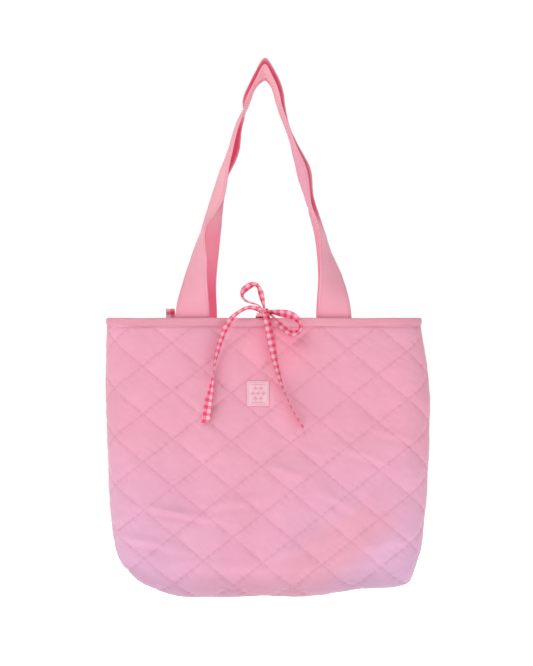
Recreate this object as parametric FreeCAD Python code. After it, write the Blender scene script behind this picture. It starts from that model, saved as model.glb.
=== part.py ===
"""Quilted tote-shaped skate bag with two shoulder straps and a ribbon bow that ties the mouth.

Millimetres, +Z up, front towards -Y. The origin is the point of a hook or peg on which both
straps hang: the underside of the straps at the top of their arch.
"""
import FreeCAD, Part
import math
import os
from FreeCAD import Vector

os.makedirs("parts", exist_ok=True)

# Driving dimensions
MOUTH_Z = -295.0            # top of the hem, below the hook point
MOUTH_HALF_DEPTH = 27.0     # front face to side seam, at the mouth
BASE_SLOPE = 15.0 / 345.0   # how fast the half depth grows towards the base
BODY_HEIGHT = 349.0
BODY_HALF_WIDTH = 200.0
EDGE_ROUND = 40.0           # how far the panels curve back to the side seam

OUTER_THICK = 0.8
WADDING_THICK = 3.2
LINING_THICK = 0.8

HEM_HEIGHT = 11.0
HEM_PROUD = 1.0             # the turned hem stands this far outside the panel
HEM_THICK = 6.8
FACING_DROP = 26.0
FACING_THICK = 0.8

STRAP_WIDTH = 43.0
STRAP_THICK = 2.0
STRAP_GAP = 0.6             # clearance between a strap's foot and the hem's round top

BINDING_WIDE = 8.0          # seam allowance standing inwards, bound with tape
BINDING_THICK = 3.0
BINDING_GAP = 0.3

RIBBON_WIDTH = 12.0
RIBBON_THICK = 0.8

LABEL_WIDE = 28.0
LABEL_TALL = 31.0
LABEL_THICK = 0.9
LABEL_X = -8.5
LABEL_Z = -388.5

STITCH_THICK = 0.5

QUILT_THICK = OUTER_THICK + WADDING_THICK + LINING_THICK
PANEL_TOP_Z = MOUTH_Z - HEM_HEIGHT
HEM_MID_INSET = HEM_THICK / 2 - HEM_PROUD
HEM_ROUND = HEM_THICK / 2
HEM_AXIS_Z = MOUTH_Z - HEM_ROUND
HEM_AXIS_Y = MOUTH_HALF_DEPTH - HEM_MID_INSET
BIG = 900.0

# Side-seam outline of the bag, from the top left, round the base, to the top right (x, z).
# The left base corner droops in a wide curve; the right one is folded square.
OUTLINE = [
    (-197.5, -270), (-197.5, -300), (-199, -356), (-197, -449), (-194, -522), (-191, -558),
    (-185.5, -585), (-173, -607), (-150, -627), (-123, -638), (-98, -643), (-50, -643.5),
    (10, -642.5), (66, -641.5), (106, -635), (150, -631.5), (170, -629.8), (180, -625),
    (186, -612), (193, -590), (199, -552), (204, -480), (206, -425), (205, -375), (199, -332),
    (195, -302), (195, -270),
]

# Each strap is a folded band. A row is one cross-section of it, going from the left foot over
# the hook point to the right foot: inner edge, two points of the fold, outer edge (x, y, z).
FRONT_LEG_LEFT = [
    [(-68.5, -24.6, -294.4), (-82.8, -24.6, -294.4), (-97.2, -24.6, -294.4), (-111.5, -24.6, -294.4)],
    [(-71.5, -38, -247), (-81.5, -28, -247), (-91.5, -18, -247), (-101.5, -8, -247)],
    [(-72.5, -41, -216), (-78.7, -28.2, -216), (-84.9, -15.3, -216), (-91, -2.5, -216)],
    [(-73, -40, -185), (-77, -29, -185), (-79, -14, -185), (-78.5, -2.2, -185)],
    [(-53.5, -33, -154), (-66, -30.5, -154), (-71.5, -16, -154), (-64, -4, -154)],
    [(-47.5, -30, -135), (-60, -28, -135), (-66, -16, -135), (-55, -4, -135)],
    [(-44.5, -28, -110), (-55.5, -27, -110), (-57, -14, -110), (-42, -5, -110)],
    [(-39, -31, -85), (-45.5, -26, -85), (-46, -12, -85), (-31.5, -3, -85)],
    [(-33, -32, -60), (-38, -25, -60), (-38.5, -11, -60), (-29, -2.5, -60)],
    [(-27, -31, -40), (-29, -24, -40), (-29, -11, -40), (-26, -2.5, -40)],
    [(-24.5, -27, -28), (-21, -22, -31), (-21, -8, -31), (-28, -3, -27)],
    [(-20.5, -24, -17), (-16.8, -20, -21), (-16.8, -8, -21), (-25.5, -3, -15)],
    [(-9, -19, 6), (-9.5, -16, -3.8), (-9.5, -7, -3.8), (-11, -3.5, 15)],
]
FRONT_TOP = [(0, -14.5, 20), (0, -12, 1), (0, -7.5, 1), (0, -4.5, 28)]
FRONT_LEG_RIGHT = [
    [(9, -19, 7), (6.8, -16, -4), (6.8, -7, -4), (12.5, -3.5, 14)],
    [(17, -24, -13), (11, -20, -17), (11, -8, -17), (22.5, -3, -10)],
    [(20.5, -27, -30), (15, -22, -31), (15, -8, -31), (25, -3, -29)],
    [(27, -30, -50), (23, -24, -50), (23, -10, -50), (29, -2.5, -50)],
    [(40.5, -28, -85), (32.6, -26, -85), (32.6, -12, -85), (45, -3, -85)],
    [(51.5, -26, -110), (36.6, -23, -110), (37, -14, -110), (57, -6, -110)],
    [(55.5, -30, -135), (44, -28, -135), (46, -15, -135), (60, -5, -135)],
    [(59, -36, -160), (54, -29, -160), (56.5, -15, -160), (65.5, -4, -160)],
    [(66.3, -40, -185), (67, -28, -185), (70, -14, -185), (73.5, -2.2, -185)],
    [(68, -41, -210), (72.7, -28, -210), (77.3, -15, -210), (82, -2.2, -210)],
    [(67.5, -38, -240), (77, -27, -240), (86, -16, -240), (95, -5, -240)],
    [(64.5, -24.6, -294.4), (78.8, -24.6, -294.4), (93.2, -24.6, -294.4), (107.5, -24.6, -294.4)],
]
BACK_LEG_LEFT = [
    [(-60.5, 24.6, -294.4), (-74.8, 24.6, -294.4), (-89.2, 24.6, -294.4), (-103.5, 24.6, -294.4)],
    [(-62, 38, -247), (-72, 28.5, -247), (-82, 19, -247), (-92, 9.5, -247)],
    [(-59, 40, -216), (-66, 28, -216), (-73, 16, -216), (-80, 4, -216)],
    [(-56, 39, -185), (-63, 28, -185), (-70, 16, -185), (-76, 3, -185)],
    [(-53, 36, -154), (-58, 25, -154), (-63, 14, -154), (-68, 3, -154)],
    [(-50, 32, -135), (-62, 24, -135), (-64, 12, -135), (-60, 3, -135)],
    [(-45, 30, -110), (-54.5, 22, -110), (-54.5, 10, -110), (-46, 3, -110)],
    [(-38, 31, -85), (-43.5, 22, -85), (-43.5, 10, -85), (-35, 3, -85)],
    [(-32, 31, -60), (-36.5, 22, -60), (-36.5, 10, -60), (-30, 3, -60)],
    [(-26.5, 31, -40), (-28.3, 23, -40), (-28.3, 10, -40), (-26.5, 3, -40)],
    [(-24.5, 27, -28), (-21.5, 20, -30), (-21.5, 8, -30), (-26.5, 3, -27)],
    [(-20.5, 24, -17), (-17.5, 18, -20), (-17.5, 8, -20), (-24, 3, -15)],
    [(-9, 19, 6), (-9.5, 16, -3.8), (-9.5, 7, -3.8), (-10.5, 3.5, 13)],
]
BACK_TOP = [(0, 14.5, 19.5), (0, 12, 1), (0, 7.5, 1), (0, 4.5, 26)]
BACK_LEG_RIGHT = [
    [(9, 19, 7), (6.8, 16, -4), (6.8, 7, -4), (11.5, 3.5, 13)],
    [(16, 24, -13), (11.5, 18, -17), (11.5, 8, -17), (20.5, 3, -11)],
    [(20, 27, -30), (15.5, 20, -31), (15.5, 8, -31), (23.5, 3, -29)],
    [(26.5, 30, -50), (23.5, 22, -50), (23.5, 10, -50), (27.5, 3, -50)],
    [(40, 30, -85), (34, 22, -85), (34, 10, -85), (43, 3, -85)],
    [(50, 28, -110), (39, 21, -110), (39, 10, -110), (53, 3, -110)],
    [(55, 30, -135), (46.5, 22, -135), (47, 10, -135), (57, 3, -135)],
    [(56, 36, -160), (57, 25, -160), (59, 14, -160), (62, 3, -160)],
    [(62.5, 38, -185), (65.5, 27, -185), (68.5, 15, -185), (71.5, 3, -185)],
    [(66, 38, -210), (70.7, 26, -210), (75.3, 14, -210), (80, 3, -210)],
    [(67.5, 37, -240), (76, 27, -240), (84.5, 17, -240), (93, 7, -240)],
    [(64.5, 24.6, -294.4), (78.8, 24.6, -294.4), (93.2, 24.6, -294.4), (107.5, 24.6, -294.4)],
]

# Ribbon runs: centre (x, y, z) and the turn about the run, 0 facing the front, 90 edge on.
BOW_TAIL_LEFT = [
    (-10, -34, -283.5, 65), (-20.5, -35, -281.8, 70), (-30, -36.5, -286.5, 74),
    (-39.5, -37.5, -293.5, 59), (-47, -37.5, -304.5, 36), (-52, -36.5, -316, 48),
    (-56, -36, -328, 60), (-59.5, -36.5, -341, 66), (-62, -37.5, -353, 76),
    (-63.5, -38, -363, 90), (-65, -38, -375, 112), (-66.8, -38, -386, 125),
    (-69.4, -37.5, -398, 137), (-71.4, -37.5, -412, 146), (-73, -37.5, -424, 155),
]
BOW_TAIL_RIGHT = [
    (2, -37.5, -294.5, 40), (4.5, -36.5, -307, 38), (7.3, -35.5, -321.5, 34),
    (10, -35.5, -335.5, 45), (12.7, -36, -349, 54), (16, -36.5, -362.5, 62),
    (20, -37.5, -376, 71), (24.3, -38.5, -386.5, 79), (29.6, -39.5, -399, 83),
    (35.2, -40, -410, 85), (41.5, -40.5, -421, 86), (47.3, -40.5, -430, 78),
]
BOW_LOOP_LEFT = [
    (-1, -33, -283.5, 78), (-2.6, -33, -276, 62), (-4.5, -33.5, -267, 57),
    (-7.5, -33.5, -257.5, 72), (-12.5, -33, -252.6, 66), (-20, -33, -256, 50),
    (-27, -33, -261.5, 52), (-28.5, -33, -268.5, 72), (-24, -33, -274, 76),
    (-17, -32.5, -276.5, 79), (-10, -32, -278.2, 81), (-5.5, -31.5, -281.3, 82),
]
BOW_LOOP_RIGHT = [
    (6.5, -33, -287.5, 108), (17, -35.5, -288.8, 119), (28, -37, -290.3, 122),
    (37.5, -38, -294, 114), (43.5, -38.5, -301.5, 102), (44.5, -39.5, -308.5, 108),
    (40, -40, -313.5, 122), (33.5, -40, -314.8, 129), (27, -40, -311.5, 129),
    (19.5, -39.5, -305, 127), (13, -38.5, -298.5, 120), (9, -36, -292.5, 106),
]
TIE_FRONT = [(-7, -24.6, -294.4), (-6.3, -25.3, -293), (-5.5, -26.2, -291.8)]
TIE_BACK = [
    (0, 24.6, -294.4), (0, 21, -290.5), (0, 8, -290.8), (0, -8, -290.3), (0, -20, -288),
    (0, -26.4, -287),
]
KNOT_CENTRE = Vector(-1, -31, -288.8)
KNOT_HALF = (6.5, 4.2, 4.6)
KEY_LOOP_X = -119.0
KEY_LOOP_RISE = 12.0
KEY_LOOP_HALF = 3.0


def save(node, shape):
    """Write one sub-part and print its size."""
    shape.exportStep("parts/%s.step" % node)
    print("%-24s solids %d  volume %9.1f  valid %s" % (
        node, len(shape.Solids), shape.Volume, shape.isValid()))


def half_depth(z, inset):
    """Half depth of the bag at height z, a given distance inside the outer face."""
    return MOUTH_HALF_DEPTH + BASE_SLOPE * (MOUTH_Z - z) - inset


def outline_points(inset):
    """The side-seam outline drawn in by a distance, scaled towards the mouth's centre."""
    scale_x = 1 - inset / BODY_HALF_WIDTH
    scale_z = 1 - inset / BODY_HEIGHT
    return [(x * scale_x, MOUTH_Z + (z - MOUTH_Z) * scale_z if z < MOUTH_Z else z)
            for x, z in OUTLINE]


def outline_wire(inset, share, depth_inset, side):
    """The outline on the tilted plane that lies a share of the half depth from the seam."""
    points = [Vector(x, side * share * half_depth(z, depth_inset), z)
              for x, z in outline_points(inset)]
    curve = Part.BSplineCurve()
    curve.interpolate(points)
    return Part.Wire([curve.toShape(), Part.LineSegment(points[-1], points[0]).toShape()])


def half_body(inset, side):
    """One half of the bag's filled shape, a given distance inside the outer face."""
    wires = []
    for degrees in (0, 22.5, 45, 67.5, 90):
        share = math.sin(math.radians(degrees))
        drawn_in = EDGE_ROUND * (1 - math.cos(math.radians(degrees)))
        wires.append(outline_wire(inset + drawn_in, share, inset, side))
    return Part.makeLoft(wires, True, False, False)


def slab(z_low, z_high):
    """A wide block between two heights."""
    return Part.makeBox(BIG, BIG, z_high - z_low, Vector(-BIG / 2, -BIG / 2, z_low))


def layer(outside, inside, side, z_low=-BIG, z_high=PANEL_TOP_Z):
    """One layer of a half body between two insets, cut off at a height."""
    return half_body(outside, side).cut(half_body(inside, side)).common(slab(z_low, z_high))


def mouth_end(seam_x, straight_x, side):
    """A quarter ellipse of the mouth, from a side seam to the straight front or back."""
    oval = Part.Ellipse(Vector(straight_x, 0, HEM_AXIS_Z), abs(straight_x - seam_x), HEM_AXIS_Y)
    quarter = {(-1, -1): 180, (-1, 1): 90, (1, -1): 270, (1, 1): 0}
    start = quarter[(1 if seam_x > straight_x else -1, side)]
    return Part.ArcOfEllipse(oval, math.radians(start), math.radians(start + 90)).toShape()


def hem(side):
    """The turned hem of one side: a band with a round top that follows the mouth."""
    middle_y = side * HEM_AXIS_Y
    left = OUTLINE[1][0] + HEM_MID_INSET
    right = OUTLINE[-2][0] - HEM_MID_INSET
    straight = Part.LineSegment(Vector(left + EDGE_ROUND, middle_y, HEM_AXIS_Z),
                                Vector(right - EDGE_ROUND, middle_y, HEM_AXIS_Z)).toShape()
    edges = [mouth_end(left, left + EDGE_ROUND, side), straight,
             mouth_end(right, right - EDGE_ROUND, side)]
    path = Part.Wire(Part.__sortEdges__(edges))
    drop = HEM_HEIGHT - HEM_ROUND
    at = Vector(left, 0, HEM_AXIS_Z)
    corners = [at + Vector(-HEM_ROUND, 0, 0), at + Vector(-HEM_ROUND, 0, -drop),
               at + Vector(HEM_ROUND, 0, -drop), at + Vector(HEM_ROUND, 0, 0)]
    profile = Part.Wire([
        Part.LineSegment(corners[0], corners[1]).toShape(),
        Part.LineSegment(corners[1], corners[2]).toShape(),
        Part.LineSegment(corners[2], corners[3]).toShape(),
        Part.Arc(corners[3], at + Vector(0, 0, HEM_ROUND), corners[0]).toShape()])
    return path.makePipeShell([profile], True, False)


def facing(side):
    """The reinforcing band sewn inside the mouth, over the strap ends."""
    outside = QUILT_THICK + STRAP_THICK
    return layer(outside, outside + FACING_THICK, side, PANEL_TOP_Z - FACING_DROP, PANEL_TOP_Z)


def strap_ends(legs, side):
    """The two sewn-in ends of a strap, between the lining and the facing."""
    tabs = []
    for leg in legs:
        low_x = min(point[0] for point in leg)
        middle = Part.makeBox(STRAP_WIDTH, BIG / 2, FACING_DROP - 2,
                              Vector(low_x, 0 if side > 0 else -BIG / 2, PANEL_TOP_Z - FACING_DROP + 2))
        tabs.append(layer(QUILT_THICK, QUILT_THICK + STRAP_THICK, side).common(middle))
    return Part.makeCompound([solid for tab in tabs for solid in tab.Solids])


def seam_binding():
    """The bound seam allowance that stands inwards along the sides and the base."""
    rings = []
    start = QUILT_THICK + BINDING_GAP
    for inset in (start, start + BINDING_WIDE):
        wire = outline_wire(inset, 0, 0, 1)
        face = Part.Face(wire)
        face.translate(Vector(0, -BINDING_THICK / 2, 0))
        rings.append(face.extrude(Vector(0, BINDING_THICK, 0)))
    return rings[0].cut(rings[1]).common(slab(-BIG, PANEL_TOP_Z - FACING_DROP - 2))


def unit(vector):
    """A copy of a vector, one millimetre long."""
    return Vector(vector) / vector.Length


def triangle(*corners):
    """A flat face through three corners."""
    return Part.Face(Part.makePolygon(list(corners) + [corners[0]]))


def facets(corner_loops):
    """A closed solid of flat triangles through matching closed loops of corners.

    The first half of a loop is one face of the strip and the second half the other, so both
    halves are cut along the same diagonals and a thin, twisted strip doesn't cross itself.
    """
    faces = []
    count = len(corner_loops[0])
    half = count // 2
    for before, after in zip(corner_loops, corner_loops[1:]):
        for index in range(count):
            following = (index + 1) % count
            if index < half:
                faces.append(triangle(before[index], before[following], after[following]))
                faces.append(triangle(before[index], after[following], after[index]))
            else:
                faces.append(triangle(before[index], before[following], after[index]))
                faces.append(triangle(before[following], after[following], after[index]))
    for loop in (corner_loops[0], corner_loops[-1]):
        for index in range(half - 1):
            opposite = count - 1 - index
            faces.append(triangle(loop[index], loop[index + 1], loop[opposite - 1]))
            faces.append(triangle(loop[index], loop[opposite - 1], loop[opposite]))
    shell = Part.makeShell(faces)
    shell.sewShape()
    solid = Part.Solid(Part.Shell(shell.Faces))
    if solid.Volume < 0:
        solid.reverse()
    return solid


def band(sections, thickness):
    """A solid strip through cross-sections, each a row of points across the strip."""
    rows = [[Vector(*point) for point in section] for section in sections]
    loops = []
    for index, row in enumerate(rows):
        before = rows[max(index - 1, 0)]
        after = rows[min(index + 1, len(rows) - 1)]
        outer = []
        inner = []
        for column, point in enumerate(row):
            along = after[column] - before[column]
            across = row[min(column + 1, len(row) - 1)] - row[max(column - 1, 0)]
            push = unit(along.cross(across)) * (thickness / 2)
            outer.append(point + push)
            inner.append(point - push)
        loops.append(outer + inner[::-1])
    return facets(loops)


def ribbon(run):
    """A flat ribbon along a run of centres, each with its turn about the run."""
    sections = []
    for index, (x, y, z, turn) in enumerate(run):
        before = Vector(*run[max(index - 1, 0)][:3])
        after = Vector(*run[min(index + 1, len(run) - 1)][:3])
        along = unit(after - before)
        flat = unit(along.cross(Vector(0, 1, 0))) if abs(along.y) < 0.9 else Vector(1, 0, 0)
        depth = unit(along.cross(flat))
        if depth.y < 0:
            depth = depth * -1
        angle = math.radians(turn)
        width = (flat * math.cos(angle) + depth * math.sin(angle)) * (RIBBON_WIDTH / 2)
        centre = Vector(x, y, z)
        sections.append([centre - width, centre + width])
    return band([[tuple(point) for point in section] for section in sections], RIBBON_THICK)


def lying_ribbon(run):
    """A ribbon whose width stays along X, as where a tie crosses the mouth."""
    half = RIBBON_WIDTH / 2
    return band([[(x - half, y, z), (x + half, y, z)] for x, y, z in run], RIBBON_THICK)


def bow_knot():
    """The knot: a rounded block."""
    size = [2 * half for half in KNOT_HALF]
    block = Part.makeBox(*size, KNOT_CENTRE - Vector(*KNOT_HALF))
    return block.makeFillet(2.6, block.Edges)


def on_front(shape):
    """Lay a shape made on the plane y = 0 against the sloping front face."""
    tilt = math.degrees(math.atan(BASE_SLOPE))
    placed = shape.copy()
    placed.rotate(Vector(0, 0, LABEL_Z), Vector(1, 0, 0), -tilt)
    placed.translate(Vector(0, -half_depth(LABEL_Z, 0) - 0.05, 0))
    return placed


def woven_label():
    """The small woven label sewn on the front."""
    corner = Vector(LABEL_X - LABEL_WIDE / 2, -LABEL_THICK, LABEL_Z - LABEL_TALL / 2)
    return on_front(Part.makeBox(LABEL_WIDE, LABEL_THICK, LABEL_TALL, corner))


def label_stitches():
    """Four rows of stitches just inside the label's edges."""
    margin = 1.6
    wide = LABEL_WIDE - 2 * margin
    tall = LABEL_TALL - 2 * margin
    outside = Part.makeBox(wide, STITCH_THICK, tall, Vector(
        LABEL_X - wide / 2, -LABEL_THICK - STITCH_THICK, LABEL_Z - tall / 2))
    inside = Part.makeBox(wide - 1.2, STITCH_THICK, tall - 1.2, Vector(
        LABEL_X - wide / 2 + 0.6, -LABEL_THICK - STITCH_THICK, LABEL_Z - tall / 2 + 0.6))
    return on_front(outside.cut(inside))


def hem_topstitch(side):
    """The row of stitches under the hem, on the outer panel."""
    row_z = PANEL_TOP_Z - 1.6
    return layer(-STITCH_THICK, 0, side, row_z, row_z + 0.8)


def key_loop():
    """A ribbon folded over and sewn into the back of the mouth, standing above the hem."""
    half = RIBBON_WIDTH / 2 - 0.5
    sections = []
    for step in range(9):
        angle = math.pi * step / 8
        y = HEM_AXIS_Y - KEY_LOOP_HALF * math.cos(angle)
        z = MOUTH_Z + STRAP_GAP + KEY_LOOP_RISE * math.sin(angle)
        sections.append([(KEY_LOOP_X - half, y, z), (KEY_LOOP_X + half, y, z)])
    return band(sections, RIBBON_THICK)


for name, side in (("front", -1), ("back", 1)):
    save(name + "_outer_panel", layer(0, OUTER_THICK, side))
    save(name + "_wadding", layer(OUTER_THICK, OUTER_THICK + WADDING_THICK, side))
    save(name + "_lining", layer(OUTER_THICK + WADDING_THICK, QUILT_THICK, side))
    save(name + "_hem", hem(side))
    save(name + "_facing", facing(side))
    save(name + "_hem_topstitch", hem_topstitch(side))

front_sections = FRONT_LEG_LEFT + [FRONT_TOP] + FRONT_LEG_RIGHT
back_sections = BACK_LEG_LEFT + [BACK_TOP] + BACK_LEG_RIGHT
save("front_handle", band(front_sections, STRAP_THICK))
save("back_handle", band(back_sections, STRAP_THICK))
save("front_handle_ends", strap_ends((front_sections[0], front_sections[-1]), -1))
save("back_handle_ends", strap_ends((back_sections[0], back_sections[-1]), 1))

binding = seam_binding()
left_part = Part.makeBox(BIG, BIG, BIG, Vector(-BIG - 120, -BIG / 2, -BIG))
right_part = Part.makeBox(BIG, BIG, BIG, Vector(150, -BIG / 2, -BIG))
save("left_seam_binding", binding.common(left_part))
save("right_seam_binding", binding.common(right_part))
save("base_seam_binding", binding.cut(left_part).cut(right_part))

save("woven_label", woven_label())
save("label_stitches", label_stitches())
save("front_tie", lying_ribbon(TIE_FRONT))
save("back_tie", lying_ribbon(TIE_BACK))
save("bow_knot", bow_knot())
save("bow_loop_left", ribbon(BOW_LOOP_LEFT))
save("bow_loop_right", ribbon(BOW_LOOP_RIGHT))
save("bow_tail_left", ribbon(BOW_TAIL_LEFT))
save("bow_tail_right", ribbon(BOW_TAIL_RIGHT))
save("key_loop", key_loop())
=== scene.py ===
"""Quilted skate bag hanging from one point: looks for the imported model, in metres."""
import bpy
import math
import numpy as np
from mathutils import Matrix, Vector


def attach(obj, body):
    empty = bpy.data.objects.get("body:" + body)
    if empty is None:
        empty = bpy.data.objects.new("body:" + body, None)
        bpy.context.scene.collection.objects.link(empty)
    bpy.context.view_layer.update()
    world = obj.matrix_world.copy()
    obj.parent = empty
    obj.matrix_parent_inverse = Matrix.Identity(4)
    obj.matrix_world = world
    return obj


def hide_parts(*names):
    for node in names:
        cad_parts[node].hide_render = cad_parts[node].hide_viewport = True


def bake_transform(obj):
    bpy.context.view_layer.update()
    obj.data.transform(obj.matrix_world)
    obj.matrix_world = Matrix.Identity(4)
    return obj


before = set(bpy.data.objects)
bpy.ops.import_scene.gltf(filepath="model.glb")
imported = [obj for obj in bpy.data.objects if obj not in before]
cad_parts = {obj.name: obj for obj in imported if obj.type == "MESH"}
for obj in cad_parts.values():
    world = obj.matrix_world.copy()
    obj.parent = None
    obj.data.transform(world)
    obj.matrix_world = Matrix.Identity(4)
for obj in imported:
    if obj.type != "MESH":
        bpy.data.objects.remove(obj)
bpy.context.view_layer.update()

MM = 0.001

# ---- sizes, mm, as in the CAD
MOUTH_Z = -295.0
MOUTH_HALF_DEPTH = 27.0
BASE_SLOPE = 15.0 / 345.0
EDGE_ROUND = 40.0
EDGE_CLOTH = 57.0           # cloth length of the rounded edge
HEM_HEIGHT = 11.0
HEM_ROUND = 3.4
HEM_GIRTH = 32.0
HEM_AXIS_Y = 24.6
HEM_AXIS_Z = -298.4
PANEL_TOP_Z = -306.0
QUILT_THICK = 4.8
STRAP_THICK = 2.0
STRAP_WIDTH = 43.0
EDGE_SEAM = 3.2             # from the strap's edges to their stitches
RIBBON_WIDTH = 12.0
LABEL_X = -8.5
LABEL_Z = -388.5
LABEL_HALF = (14.0, 15.5)
LINE_SPACING = (47.0, 44.9)  # between the quilting lines of each family
CELL_RUN = 48.0             # length of quilting line that crosses one cell
QUILT_PITCH = 3.5           # from one stitch to the next, on quilting lines and on seams
SEAM_PITCH = 3.1
STITCH = 2.2                # visible length of a stitch
CHECK_REPEAT = 8.8          # of the gingham, along the ribbon
SELVEDGE = 1.0
PILLOW = 3.3                # height of the wadding between the quilting lines
SUNK = 1.8                  # depth of the lines
PANEL_MESH = 1.65           # mesh steps of the outer cloth and of the lining
LINING_MESH = 2.9
MOUTH_LEFT, MOUTH_RIGHT = -197.5, 195.0
FACING_Z = (-303.5, -332.0)
TAPE_INSET = (5.6, 13.1)    # from the rim to the tape's fold and to its edge
FLOOR_Z = -780
FLOOR_REACH = 3000
NAMES = {-1: "front", 1: "back"}

OUTLINE = [
    (-197.5, -270), (-197.5, -300), (-199, -356), (-197, -449), (-194, -522), (-191, -558),
    (-185.5, -585), (-173, -607), (-150, -627), (-123, -638), (-98, -643), (-50, -643.5),
    (10, -642.5), (66, -641.5), (106, -635), (150, -631.5), (170, -629.8), (180, -625),
    (186, -612), (193, -590), (199, -552), (204, -480), (206, -425), (205, -375), (199, -332),
    (195, -302), (195, -270),
]

FOOT_ROWS = ((20.7, -331), (20.2, -315), (19.9, -303), (20.4, -297))


def foot(*across, side):
    """The rows of a strap's flat foot behind the hem, from the bottom up."""
    return [[(x, side * y, z) for x in across] for y, z in FOOT_ROWS]


def level_rows(rows):
    """Strap rows as four (x, y, z); a row given as a tuple is level: z, then four (x, y)."""
    return [[(x, y, row[0]) for x, y in row[1:]] if isinstance(row, tuple) else row
            for row in rows]


# Strap cross-sections from the left foot over the hook to the right foot: inner edge, two
# points of the fold, outer edge. The feet tuck in behind the hem.
FRONT_STRAP = foot(-68.5, -82.8, -97.2, -111.5, side=-1) + level_rows([
    (-290, (-68.6, -23.5), (-82.8, -23), (-97, -22.5), (-111, -22)),
    (-247, (-71.5, -38), (-81.5, -28), (-91.5, -18), (-101.5, -8)),
    (-216, (-72.5, -41), (-78.7, -28.2), (-84.9, -15.3), (-91, -2.5)),
    (-185, (-73, -40), (-77, -29), (-79, -14), (-78.5, -2.2)),
    (-154, (-53.5, -33), (-66, -30.5), (-71.5, -16), (-64, -4)),
    (-135, (-47.5, -30), (-60, -28), (-66, -16), (-55, -4)),
    (-110, (-44.5, -28), (-55.5, -27), (-57, -14), (-42, -5)),
    (-85, (-39, -31), (-45.5, -26), (-46, -12), (-31.5, -3)),
    (-60, (-33, -32), (-38, -25), (-38.5, -11), (-29, -2.5)),
    (-40, (-27, -31), (-29, -24), (-29, -11), (-26, -2.5)),
    [(-24.5, -27, -28), (-21, -22, -31), (-21, -8, -31), (-28, -3, -27)],
    [(-20.5, -24, -17), (-16.8, -20, -21), (-16.8, -8, -21), (-25.5, -3, -15)],
    [(-9, -19, 6), (-9.5, -16, -3.8), (-9.5, -7, -3.8), (-11, -3.5, 15)],
    [(-5, -17, 15), (-4.6, -14, -0.5), (-4.6, -7.3, -0.5), (-6.2, -3.8, 24)],
    [(0, -14.5, 21), (0, -12, 1), (0, -7.5, 1), (0, -4.5, 30)],
    [(5, -17, 15), (3.6, -14, -0.5), (3.6, -7.3, -0.5), (6.8, -3.8, 23.5)],
    [(9, -19, 7), (6.8, -16, -4), (6.8, -7, -4), (12.5, -3.5, 14)],
    [(17, -24, -13), (11, -20, -17), (11, -8, -17), (22.5, -3, -10)],
    [(20.5, -27, -30), (15, -22, -31), (15, -8, -31), (25, -3, -29)],
    (-50, (27, -30), (23, -24), (23, -10), (29, -2.5)),
    (-85, (40.5, -28), (32.6, -26), (32.6, -12), (45, -3)),
    (-110, (51.5, -26), (36.6, -23), (37, -14), (57, -6)),
    (-135, (55.5, -30), (44, -28), (46, -15), (60, -5)),
    (-160, (59, -36), (54, -29), (56.5, -15), (65.5, -4)),
    (-185, (66.3, -40), (67, -28), (70, -14), (73.5, -2.2)),
    (-210, (68, -41), (72.7, -28), (77.3, -15), (82, -2.2)),
    (-240, (67.5, -38), (77, -27), (86, -16), (95, -5)),
    (-290, (64.6, -23.5), (78.8, -23), (93, -22.5), (107, -22)),
]) + foot(64.5, 78.8, 93.2, 107.5, side=-1)[::-1]
BACK_STRAP = foot(-60.5, -74.8, -89.2, -103.5, side=1) + level_rows([
    (-290, (-60.6, 23.5), (-74.8, 23), (-89, 22.5), (-103, 22)),
    (-247, (-62, 38), (-72, 28.5), (-82, 19), (-92, 9.5)),
    (-216, (-59, 40), (-66, 28), (-73, 16), (-80, 4)),
    (-185, (-56, 39), (-63, 28), (-70, 16), (-76, 3)),
    (-154, (-53, 36), (-58, 25), (-63, 14), (-68, 3)),
    (-135, (-50, 32), (-62, 24), (-64, 12), (-60, 3)),
    (-110, (-45, 30), (-54.5, 22), (-54.5, 10), (-46, 3)),
    (-85, (-38, 31), (-43.5, 22), (-43.5, 10), (-35, 3)),
    (-60, (-32, 31), (-36.5, 22), (-36.5, 10), (-30, 3)),
    (-40, (-26.5, 31), (-28.3, 23), (-28.3, 10), (-26.5, 3)),
    [(-24.5, 27, -28), (-21.5, 20, -30), (-21.5, 8, -30), (-26.5, 3, -27)],
    [(-20.5, 24, -17), (-17.5, 18, -20), (-17.5, 8, -20), (-24, 3, -15)],
    [(-9, 19, 6), (-9.5, 16, -3.8), (-9.5, 7, -3.8), (-10.5, 3.5, 13)],
    [(-5, 17, 14), (-4.6, 14, -0.5), (-4.6, 7.3, -0.5), (-5.6, 3.8, 21)],
    [(0, 14.5, 20), (0, 12, 1), (0, 7.5, 1), (0, 4.5, 27)],
    [(5, 17, 14), (3.6, 14, -0.5), (3.6, 7.3, -0.5), (6.2, 3.8, 21)],
    [(9, 19, 7), (6.8, 16, -4), (6.8, 7, -4), (11.5, 3.5, 13)],
    [(16, 24, -13), (11.5, 18, -17), (11.5, 8, -17), (20.5, 3, -11)],
    [(20, 27, -30), (15.5, 20, -31), (15.5, 8, -31), (23.5, 3, -29)],
    (-50, (26.5, 30), (23.5, 22), (23.5, 10), (27.5, 3)),
    (-85, (40, 30), (34, 22), (34, 10), (43, 3)),
    (-110, (50, 28), (39, 21), (39, 10), (53, 3)),
    (-135, (55, 30), (46.5, 22), (47, 10), (57, 3)),
    (-160, (56, 36), (57, 25), (59, 14), (62, 3)),
    (-185, (62.5, 38), (65.5, 27), (68.5, 15), (71.5, 3)),
    (-210, (66, 38), (70.7, 26), (75.3, 14), (80, 3)),
    (-240, (67.5, 37), (76, 27), (84.5, 17), (93, 7)),
    (-290, (64.6, 23.5), (78.8, 23), (93, 22.5), (107, 22)),
]) + foot(64.5, 78.8, 93.2, 107.5, side=1)[::-1]

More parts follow.
